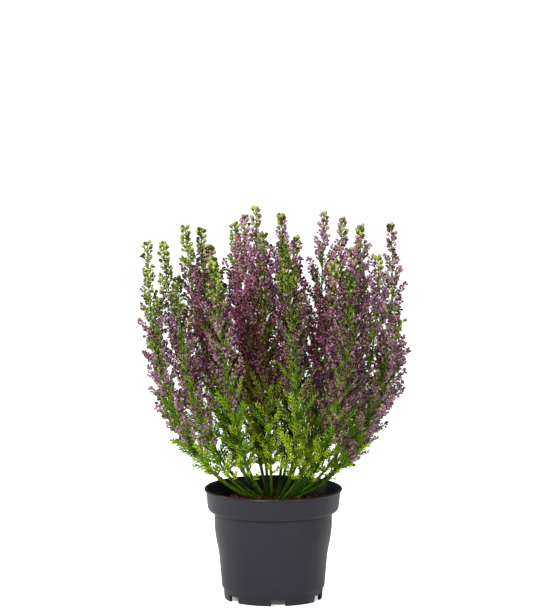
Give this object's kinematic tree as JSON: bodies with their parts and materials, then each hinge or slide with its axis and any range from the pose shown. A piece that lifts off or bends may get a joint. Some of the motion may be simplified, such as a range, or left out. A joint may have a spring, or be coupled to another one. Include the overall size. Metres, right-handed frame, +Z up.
{
  "type": "potted heather",
  "caption": "Flowering heather in a round plastic nursery pot: slender shoots fan out of the soil, leafy below and set with round mauve buds above.",
  "frame": {"origin": "on the surface that the pot stands on, under the middle of the whole plant and pot", "axes": "+Z up along the pot's own axis; +Y towards the back and +X to the right, seen from the front"},
  "size_m": [0.2315, 0.181, 0.346],
  "materials": {
    "pot_plastic": "satin",
    "soil": "matte",
    "leaf_green": "satin",
    "flower_mauve": "matte"
  },
  "bodies": {
    "root": {"nursery_pot": "pot_plastic", "potting_soil": "soil", "leafy_stem_01": "leaf_green", "leafy_stem_02": "leaf_green", "leafy_stem_03": "leaf_green", "leafy_stem_04": "leaf_green", "leafy_stem_05": "leaf_green", "leafy_stem_06": "leaf_green", "leafy_stem_07": "leaf_green", "leafy_stem_08": "leaf_green", "leafy_stem_09": "leaf_green", "leafy_stem_10": "leaf_green", "leafy_stem_11": "leaf_green", "leafy_stem_12": "leaf_green", "leafy_stem_13": "leaf_green", "leafy_stem_14": "leaf_green", "leafy_stem_15": "leaf_green", "leafy_stem_16": "leaf_green", "leafy_stem_17": "leaf_green", "leafy_stem_18": "leaf_green", "leafy_stem_19": "leaf_green", "leafy_stem_20": "leaf_green", "leafy_stem_21": "leaf_green", "leafy_stem_22": "leaf_green", "leafy_stem_23": "leaf_green", "leafy_stem_24": "leaf_green", "flower_spike_01": "flower_mauve", "flower_spike_02": "flower_mauve", "flower_spike_03": "flower_mauve", "flower_spike_04": "flower_mauve", "flower_spike_05": "flower_mauve", "flower_spike_06": "flower_mauve", "flower_spike_07": "flower_mauve", "flower_spike_08": "flower_mauve", "flower_spike_09": "flower_mauve", "flower_spike_10": "flower_mauve", "flower_spike_11": "flower_mauve", "flower_spike_12": "flower_mauve", "flower_spike_13": "flower_mauve", "flower_spike_14": "flower_mauve", "flower_spike_15": "flower_mauve", "flower_spike_16": "flower_mauve", "flower_spike_17": "flower_mauve", "flower_spike_18": "flower_mauve", "flower_spike_19": "flower_mauve", "flower_spike_20": "flower_mauve", "flower_spike_21": "flower_mauve", "flower_spike_22": "flower_mauve", "flower_spike_23": "flower_mauve", "flower_spike_24": "flower_mauve"}
  },
  "joints": []
}
